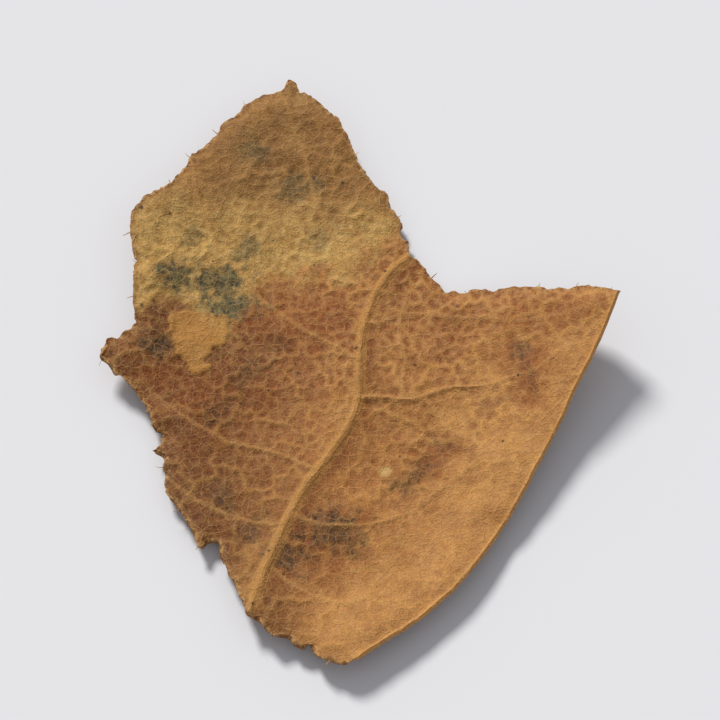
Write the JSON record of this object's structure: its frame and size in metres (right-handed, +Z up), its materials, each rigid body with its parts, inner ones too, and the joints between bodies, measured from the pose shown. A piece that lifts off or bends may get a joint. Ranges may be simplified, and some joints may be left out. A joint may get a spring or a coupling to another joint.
{
  "type": "torn autumn leaf piece",
  "caption": "Torn piece of a dry autumn leaf, veined underside up, with one smooth margin, torn edges and curled-up sides around a flat belly.",
  "frame": {"origin": "on the surface the piece lies on, under the middle of its bounding box", "axes": "+Z up, away from the surface; +Y along the piece's longest side, towards its torn tongue; +X towards its pointed tip"},
  "size_m": [0.0076, 0.0092, 0.0012],
  "materials": {
    "dry_leaf": "dry, matt, papery leaf blade in tan and brown with raised veins, fine net veins and dark spots"
  },
  "bodies": {
    "root": {"leaf_piece": "dry_leaf"}
  },
  "joints": []
}
